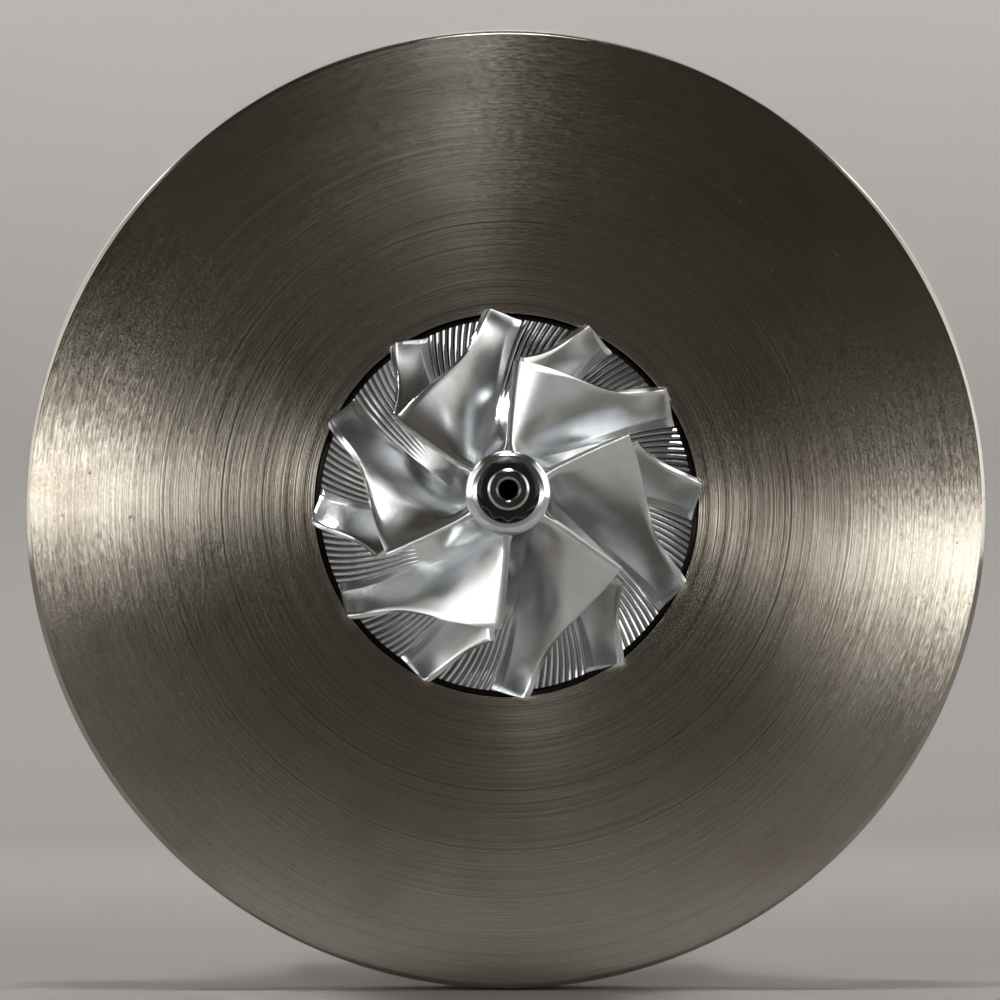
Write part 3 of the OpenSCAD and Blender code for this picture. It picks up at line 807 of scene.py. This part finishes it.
@dataclass
class CompressorWheel:
    """Milled wheel with full blades, splitters and cutter grooves on the hub."""

    path: FlowPath = FlowPath((5.2, -20.5), (24.0, 0.0), (16.6, -19.6), (25.0, -3.8))
    wrap: float = 51.0
    root_wrap: float = 10.0
    lead: float = 2.5
    first: float = 26.6
    full_blades: int = 6
    splitter_start: float = 0.36
    grooves: int = 14
    groove_steps: int = 8
    groove_depth: float = 0.20
    groove_start: float = 0.56
    groove_fade: float = 0.16
    flow_rows: int = 40
    nose_y: float = -23.5
    nose_chamfer: float = 0.8
    back_y: float = 1.4
    boss_y: float = 3.4
    boss_r: float = 6.8
    bore_r: float = 2.53
    edge: float = 0.1
    root_t: float = 0.9
    tip_t: float = 0.5
    sink: float = 0.07
    bend: tuple[float, float, float] = (2.6, -2.67, 1.07)

    def angle(self, t: float, s: float) -> float:
        """Angle of a blade's mean surface.

        Args:
            t: share of the way along the flow.
            s: share of the way from hub to tip.

        Returns:
            Degrees from the leading edge's tip.
        """
        first, second, third = self.bend
        share = first * t + second * t * t + third * t * t * t
        return self.lead * (1.0 - s) - (self.wrap + self.root_wrap * (1.0 - s)) * share

    def profile(self) -> list[tuple[float, float, float, float]]:
        """Closed profile of the hub.

        Returns:
            Rows of radius, y, flow share and groove strength.
        """
        hub_r, hub_y = self.path.hub_in
        rim_r = self.path.hub_out[0]
        cut = self.nose_chamfer
        before, after = 0.08, 0.05
        rows = [(self.bore_r, self.nose_y, 0.0, 0.0),
                (hub_r - cut - before, self.nose_y, 0.0, 0.0),
                (hub_r - cut + after, self.nose_y + after, 0.0, 0.0),
                (hub_r - after, self.nose_y + cut - after, 0.0, 0.0),
                (hub_r, self.nose_y + cut + before, 0.0, 0.0)]
        for k in range(self.flow_rows + 1):
            t = k / self.flow_rows
            fade = min(1.0, max(0.0, (t - self.groove_start) / self.groove_fade))
            radius, y = self.path.hub(t)
            rows.append((radius, y, t, fade * fade * (3.0 - 2.0 * fade)))
        rows += [(rim_r, 0.12, 1.0, 0.0), (rim_r, self.back_y - self.edge, 1.0, 0.0),
                 (rim_r - self.edge, self.back_y, 1.0, 0.0),
                 (self.boss_r, self.back_y, 0.0, 0.0), (self.boss_r, self.boss_y, 0.0, 0.0),
                 (self.bore_r, self.boss_y, 0.0, 0.0), (self.bore_r, self.nose_y, 0.0, 0.0)]
        return rows

    def hub(self) -> bpy.types.Object:
        """Builds the hub with its cutter grooves.

        Returns:
            The hub piece.
        """
        rows = self.profile()
        around = self.full_blades * 2 * self.grooves * self.groove_steps
        bm = bmesh.new()
        made = bmesh.ops.create_grid(bm, x_segments=around, y_segments=len(rows) - 1, size=1.0)
        for vert in made["verts"]:
            column = round((vert.co.x + 1.0) / 2.0 * around)
            radius, y, t, strength = rows[round((vert.co.y + 1.0) / 2.0 * (len(rows) - 1))]
            place = (column / self.groove_steps) % 1.0 - 0.5
            cut = self.groove_depth * strength * (1.0 - 4.0 * place * place)
            turn = self.first + self.angle(t, 0.0) + 360.0 * column / around
            vert.co = polar(radius, y + cut, turn)
        return finish_mesh(bm, "wheel_hub", 60.0)

    def blades(self) -> bpy.types.Object:
        """Builds the full blades and the splitters.

        Returns:
            The blade piece.
        """
        bm = bmesh.new()
        half_step = 180.0 / self.full_blades
        for first, start in ((self.first, 0.0), (self.first + half_step, self.splitter_start)):
            BladeSet(self.path, self.angle, self.full_blades, first, start, self.root_t, self.tip_t,
                     self.sink).add_to(bm)
        return finish_mesh(bm, "wheel_blades", 40.0)

    def build(self, hub_finish: bpy.types.Material, blade_finish: bpy.types.Material) -> None:
        """Builds and dresses the wheel.

        Args:
            hub_finish: finish of the hub.
            blade_finish: finish of the blades.
        """
        put(self.hub(), Body.ROTOR, "milled_aluminium", hub_finish, "compressor_wheel")
        put(self.blades(), Body.ROTOR, "milled_aluminium", blade_finish)


@dataclass
class TurbineWheel:
    """Cast turbine wheel with smooth blades on a scalloped disc."""

    back_y: float = 63.7
    radius: float = 21.5
    outlet_r: float = 18.5
    length: float = 19.0
    hub_r: float = 5.5
    blades: int = 11
    disc_t: float = 1.5
    inlet_w: float = 8.0
    outlet_step: float = 0.8
    scallop_web: float = 1.9
    scallop_out: float = 1.6
    wrap: float = 42.0
    root_t: float = 1.5
    tip_t: float = 0.8
    boss: tuple[tuple[float, float], ...] = ((0.0, 2.5), (4.1, 2.5), (5.0, 2.0), (5.5, 1.5))
    rim_edge: float = 0.6
    hex_r: float = 4.0
    hex_h: float = 4.0
    hex_mid: float = 4.0
    hex_edge: float = 0.25
    flow_rows: int = 24
    steps: int = 264

    def path(self) -> FlowPath:
        """Flow path from the gas outlet to the gas inlet."""
        end = self.back_y + self.length
        return FlowPath((self.hub_r, end), (self.radius, self.back_y + self.disc_t),
                        (self.outlet_r, end - self.outlet_step), (self.radius, self.back_y + self.inlet_w))

    def rim(self, degrees: float) -> float:
        """Radius of the scalloped disc at an angle.

        Args:
            degrees: angle about the axis.

        Returns:
            Radius in millimetres.
        """
        step = 360.0 / self.blades
        scallop = self.radius * math.pi / self.blades - self.scallop_web
        centre = self.radius + self.scallop_out
        off = math.radians((degrees / step) % 1.0 * step - step / 2.0)
        inside = scallop * scallop - (centre * math.sin(off)) ** 2
        if inside <= 0.0:
            return self.radius
        return min(self.radius, centre * math.cos(off) - math.sqrt(inside))

    def build(self, finish: bpy.types.Material) -> None:
        """Builds and dresses the wheel.

        Args:
            finish: finish of the wheel.
        """
        path = self.path()
        end = self.back_y + self.length
        rows = [(radius, end + rise) for radius, rise in self.boss]
        rows += [path.hub(k / self.flow_rows) for k in range(self.flow_rows + 1)]
        rows += [(self.radius, self.back_y + self.rim_edge), (self.radius - self.rim_edge, self.back_y),
                 (0.0, self.back_y)]
        bm = bmesh.new()
        made = bmesh.ops.create_grid(bm, x_segments=self.steps, y_segments=len(rows) - 1, size=1.0)
        for vert in made["verts"]:
            column = round((vert.co.x + 1.0) / 2.0 * self.steps)
            radius, y = rows[round((vert.co.y + 1.0) / 2.0 * (len(rows) - 1))]
            turn = 360.0 * column / self.steps
            vert.co = polar(min(radius, self.rim(turn)), y, turn)
        BladeSet(path, lambda t, s: -self.wrap * (1.0 - t) ** 2, self.blades, first=0.0, start=0.0,
                 root_t=self.root_t, tip_t=self.tip_t, sink=0.10, fillet=0.5, columns=22, rows=10).add_to(bm)
        nose = bmesh.ops.create_cone(bm, cap_ends=True, segments=6, radius1=self.hex_r, radius2=self.hex_r,
                                     depth=self.hex_h)["verts"]
        for vert in nose:
            vert.co = Vector((vert.co.x, vert.co.z + end + self.hex_mid, vert.co.y)) * MM
        bmesh.ops.recalc_face_normals(bm, faces=list({face for vert in nose for face in vert.link_faces}))
        edges = list({edge for vert in nose for edge in vert.link_edges})
        bmesh.ops.bevel(bm, geom=edges, offset=self.hex_edge * MM, affect="EDGES", segments=2, profile=0.5,
                        material=-1)
        wheel = finish_mesh(bm, "turbine_wheel_smooth", 45.0)
        put(wheel, Body.ROTOR, "turbine_alloy", finish, "turbine_wheel")


@dataclass
class Backplate:
    """Turned backplate with its pocket, rim groove and stepped back."""

    radius: float = 62.0
    rim_w: float = 9.0
    chamfer: float = 0.6
    pocket_r: float = 24.8
    pocket_d: float = 2.0
    groove: tuple[float, float] = (3.2, 5.8)
    groove_r: float = 60.1
    hub_r: float = 38.0
    depth: float = 12.0
    web: float = 7.0
    slope: tuple[float, float] = (5.0, 7.0)
    hub_slope: float = 2.0
    bore_r: float = 8.0
    seat_r: float = 17.03
    seat_y: float = 11.2
    cavity_r: float = 13.5
    cavity_y: float = 8.0
    edge: float = 0.12
    steps: int = 288

    def build(self, finish: bpy.types.Material) -> None:
        """Builds and dresses the plate.

        Args:
            finish: finish of the plate.
        """
        r, c, edge = self.radius, self.chamfer, self.edge
        low, high = self.groove
        corners = [(self.bore_r, self.pocket_d, 0.2), (self.pocket_r, self.pocket_d, 0.2),
                   (self.pocket_r, 0.0, edge), (r - c, 0.0, edge), (r, c, edge), (r, low, edge),
                   (self.groove_r, low, 0.15), (self.groove_r, high, 0.15),
                   (r, high, edge), (r, self.rim_w - c, edge), (r - c, self.rim_w, edge),
                   (r - self.slope[0], self.rim_w, 0.3), (r - self.slope[1], self.web, 0.6),
                   (self.hub_r + self.hub_slope, self.web, 0.6), (self.hub_r, self.web + self.hub_slope, 0.6),
                   (self.hub_r, self.depth, 0.15), (self.seat_r, self.depth, 0.0),
                   (self.seat_r, self.seat_y, 0.0), (self.cavity_r, self.seat_y, 0.0),
                   (self.cavity_r, self.cavity_y, 0.0), (self.bore_r, self.cavity_y, 0.0)]
        bm = bmesh.new()
        spin_profile(bm, rounded(corners), self.steps)
        plate = finish_mesh(bm, "backplate_turned", 30.0)
        put(plate, Body.HOUSING, "turned_plate", finish, "compressor_backplate")


@dataclass
class CoverRing:
    """O-ring in the rim of the backplate."""

    centre_r: float = 61.15
    y: float = 4.5
    section: float = 1.05
    sides: int = 20
    steps: int = 288

    def build(self, finish: bpy.types.Material) -> None:
        """Builds and dresses the ring.

        Args:
            finish: finish of the ring.
        """
        turns = [2.0 * math.pi * k / self.sides for k in range(self.sides)]
        points = [(self.centre_r + self.section * math.cos(turn), self.y + self.section * math.sin(turn))
                  for turn in turns]
        bm = bmesh.new()
        spin_profile(bm, points, self.steps)
        put(finish_mesh(bm, "cover_ring_round", 60.0), Body.HOUSING, "seal_rubber", finish, "cover_o_ring")


Place = tuple[float, float, float]
WARM: Colour = (1.0, 0.98, 0.93)


@dataclass(frozen=True)
class Lamp:
    """One soft rectangular lamp: place, size and aim in metres, power in watts, spread in degrees."""

    name: str
    place: Place
    size: tuple[float, float]
    power: float
    colour: Colour = (1.0, 1.0, 1.0)
    aim: Place = (0.0, 0.0, 0.0)
    spread: float = 180.0

    def build(self) -> None:
        """Makes the lamp."""
        data = bpy.data.lights.new(self.name, "AREA")
        data.shape = "RECTANGLE"
        data.size, data.size_y = self.size
        data.energy = self.power
        data.color = self.colour
        data.spread = math.radians(self.spread)
        lamp = bpy.data.objects.new(self.name, data)
        lamp.location = self.place
        lamp.rotation_euler = (Vector(self.aim) - Vector(self.place)).to_track_quat("-Z", "Y").to_euler()
        bpy.context.scene.collection.objects.link(lamp)


# The first three make the bright sectors of the turned face. The panels light the wheel from both sides.
LAMPS = (
    Lamp("left_lamp", (-0.53, -1.05, 0.090), (0.74, 0.07), 0.86, WARM),
    Lamp("right_lamp", (0.53, -1.05, 0.030), (0.74, 0.07), 0.76, WARM),
    Lamp("upper_lamp", (-0.02, -1.05, 0.56), (0.04, 0.85), 0.11),
    Lamp("back_lamp", (0.0, -0.05, 0.95), (1.2, 0.3), 2.1, aim=(0.0, 0.67, 0.34), spread=40.0),
    Lamp("left_panel", (-1.3, 0.05, 0.35), (2.4, 2.2), 7.4, aim=(0.0, 0.20, 0.18), spread=90.0),
    Lamp("right_panel", (1.3, 0.05, 0.35), (2.4, 2.2), 8.2, aim=(0.0, 0.20, 0.18), spread=90.0),
    Lamp("top_panel", (0.0, 0.36, 0.95), (0.9, 0.15), 0.55, aim=(0.0, 0.30, 0.0), spread=50.0),
    Lamp("near_lamp", (0.0, -0.07, 0.85), (0.7, 0.08), 0.20, aim=(0.0, -0.06, 0.0), spread=20.0),
    Lamp("rear_left_lamp", (-0.75, 0.52, 0.62), (0.5, 0.5), 3.0),
    Lamp("rear_right_lamp", (0.75, 0.52, 0.62), (0.5, 0.5), 3.0),
)


@dataclass
class Studio:
    """Floor, backdrop, lamps and camera."""

    distance: float = 0.420
    azimuth: float = -0.45
    elevation: float = -3.65
    plate_r: float = 0.062
    plate_px: float = 480.8
    centre_px: tuple[float, float] = (506.6, 504.5)
    image_px: float = 1000.0
    sensor: float = 36.0
    backdrop: Colour = (0.37, 0.355, 0.34)
    world: Colour = (0.052, 0.043, 0.033)
    world_strength: float = 0.9
    floor_gap: float = 0.00005
    half_width: float = 2.0
    front: float = -1.2
    wall: float = 0.55
    bend: float = 0.12
    bend_steps: int = 12
    height: float = 2.2

    def floor(self) -> None:
        """Makes the floor and backdrop as one swept sheet, which is clear when seen from its far side."""
        g = Graph("backdrop_paper")
        place = g.place()
        cloud = g.noise(place, 6.0, 3.0, 0.5)
        tone = g.mix(cloud, tuple(0.97 * c for c in self.backdrop), tuple(1.03 * c for c in self.backdrop))
        behind = g.node("ShaderNodeNewGeometry", {}, {}, "Backfacing")
        paper = g.surface(Base_Color=tone, Roughness=0.9, Alpha=1.0 - behind)
        side, low, wall, bend = -self.half_width, CAD_LOW.z - self.floor_gap, self.wall, self.bend
        line = [Vector((side, self.front, low)), Vector((side, wall, low))]
        for k in range(1, self.bend_steps + 1):
            turn = math.radians(90.0 * k / self.bend_steps)
            line.append(Vector((side, wall + bend * math.sin(turn), low + bend * (1.0 - math.cos(turn)))))
        line.append(Vector((side, wall + bend, low + self.height)))
        bm = bmesh.new()
        verts = [bm.verts.new(spot) for spot in line]
        edges = [bm.edges.new(pair) for pair in zip(verts, verts[1:])]
        swept = bmesh.ops.extrude_edge_only(bm, edges=edges)["geom"]
        moved = [item for item in swept if isinstance(item, bmesh.types.BMVert)]
        bmesh.ops.translate(bm, verts=moved, vec=(2.0 * self.half_width, 0.0, 0.0))
        sheet = finish_mesh(bm, "studio_floor", 60.0)
        if min(sheet.data.polygons, key=lambda face: face.center.z).normal.z < 0.0:
            sheet.data.flip_normals()
        sheet.data.materials.append(paper)
        sheet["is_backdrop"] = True

    def light(self) -> None:
        """Makes the lamps and the plain dim world."""
        for lamp in LAMPS:
            lamp.build()
        world = bpy.data.worlds.new("studio_world")
        world.use_nodes = True
        shade = world.node_tree.nodes["Background"]
        shade.inputs["Color"].default_value = (*self.world, 1.0)
        shade.inputs["Strength"].default_value = self.world_strength
        bpy.context.scene.world = world

    def camera(self) -> None:
        """Makes the camera at the photograph's angle."""
        data = bpy.data.cameras.new("photo_camera")
        focal_px = self.plate_px / self.plate_r * self.distance
        data.sensor_width = self.sensor
        data.lens = focal_px / self.image_px * self.sensor
        data.shift_x = (self.image_px / 2.0 - self.centre_px[0]) / self.image_px
        data.shift_y = (self.centre_px[1] - self.image_px / 2.0) / self.image_px
        data.clip_start = 0.01
        turn, rise = math.radians(self.azimuth), math.radians(self.elevation)
        spot = self.distance * Vector((math.sin(turn) * math.cos(rise), -math.cos(turn) * math.cos(rise),
                                       math.sin(rise)))
        camera = bpy.data.objects.new("photo_camera", data)
        camera.location = spot
        camera.rotation_euler = (-spot).to_track_quat("-Z", "Y").to_euler()
        bpy.context.scene.collection.objects.link(camera)
        bpy.context.scene.camera = camera

    def build(self) -> None:
        """Sets up the whole studio."""
        bpy.context.scene.view_settings.view_transform = "Standard"
        self.floor()
        self.light()
        self.camera()


@dataclass
class Cartridge:
    """The whole cartridge, with the finish of every piece."""

    def dress_nodes(self) -> None:
        """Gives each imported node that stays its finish."""
        ground = RoundSteel("ground_steel", (0.66, 0.65, 0.64), (0.46, 0.45, 0.44)).build()
        # The shaft's end and its centre hole get painted shade.
        shaft = RoundSteel("shaft_steel", (0.66, 0.65, 0.64), (0.46, 0.45, 0.44), 0.2, end_y=-0.0288,
                           hole_r=0.0012).build()
        bronze = RoundSteel("bearing_bronze", (0.80, 0.58, 0.28), (0.58, 0.39, 0.17), 0.30).build()
        ring_iron = RoundSteel("ring_iron", (0.34, 0.33, 0.33), (0.22, 0.21, 0.21), 0.34).build()
        spring = RoundSteel("spring_steel", (0.30, 0.30, 0.32), (0.18, 0.18, 0.19), 0.36).build()
        black = RoundSteel("black_steel", (0.045, 0.043, 0.044), (0.020, 0.019, 0.020), 0.34).build()
        bolts = GrainedMetal("plated_bolts", (0.62, 0.61, 0.57), (0.46, 0.45, 0.42), (0.52, 0.47, 0.34),
                             0.34).build()
        pressed = GrainedMetal("pressed_steel", (0.58, 0.57, 0.55), (0.44, 0.43, 0.41), (0.50, 0.46, 0.40),
                               0.34).build()
        shield = GrainedMetal("shield_steel", (0.46, 0.42, 0.38), (0.32, 0.29, 0.26), (0.36, 0.27, 0.20),
                              0.38).build()
        rubber = SealRubber().build()
        cast = CastIron().build()
        finishes = {
            "bearing_housing": cast, "housing_o_ring": rubber,
            "backplate_bolts": bolts, "oil_deflector": pressed,
            "thrust_bearing": bronze, "front_journal_bearing": bronze, "rear_journal_bearing": bronze,
            "thrust_dowel_pins": ground, "rotor_shaft": shaft,
            "flinger_sleeve": ground, "thrust_collar": ground,
            "compressor_piston_ring": ring_iron, "turbine_piston_ring": ring_iron,
            "front_bearing_outer_ring": spring, "front_bearing_inner_ring": spring,
            "rear_bearing_inner_ring": spring, "rear_bearing_outer_ring": spring,
            "heat_shield": shield, "lock_nut": black,
        }
        for node, material in finishes.items():
            dress(node, material)
        CoverRing().build(rubber)

    def build(self) -> None:
        """Builds and dresses every piece."""
        plate = TurnedFace().build()
        # The hub's cutter groove valleys get painted shade from groove_from outward.
        hub = MilledAluminium("milled_hub", rough=0.16, groove_from=0.0132).build()
        blade = MilledAluminium().build()
        alloy = GrainedMetal("turbine_alloy", (0.40, 0.36, 0.33), (0.25, 0.225, 0.20),
                             (0.30, 0.235, 0.185)).build()
        self.dress_nodes()
        Backplate().build(plate)
        CompressorWheel().build(hub, blade)
        TurbineWheel().build(alloy)


def main() -> None:
    """Builds the cartridge and its studio."""
    logging.basicConfig(level=logging.INFO)
    Cartridge().build()
    Studio().build()


if __name__ == "__main__":
    main()
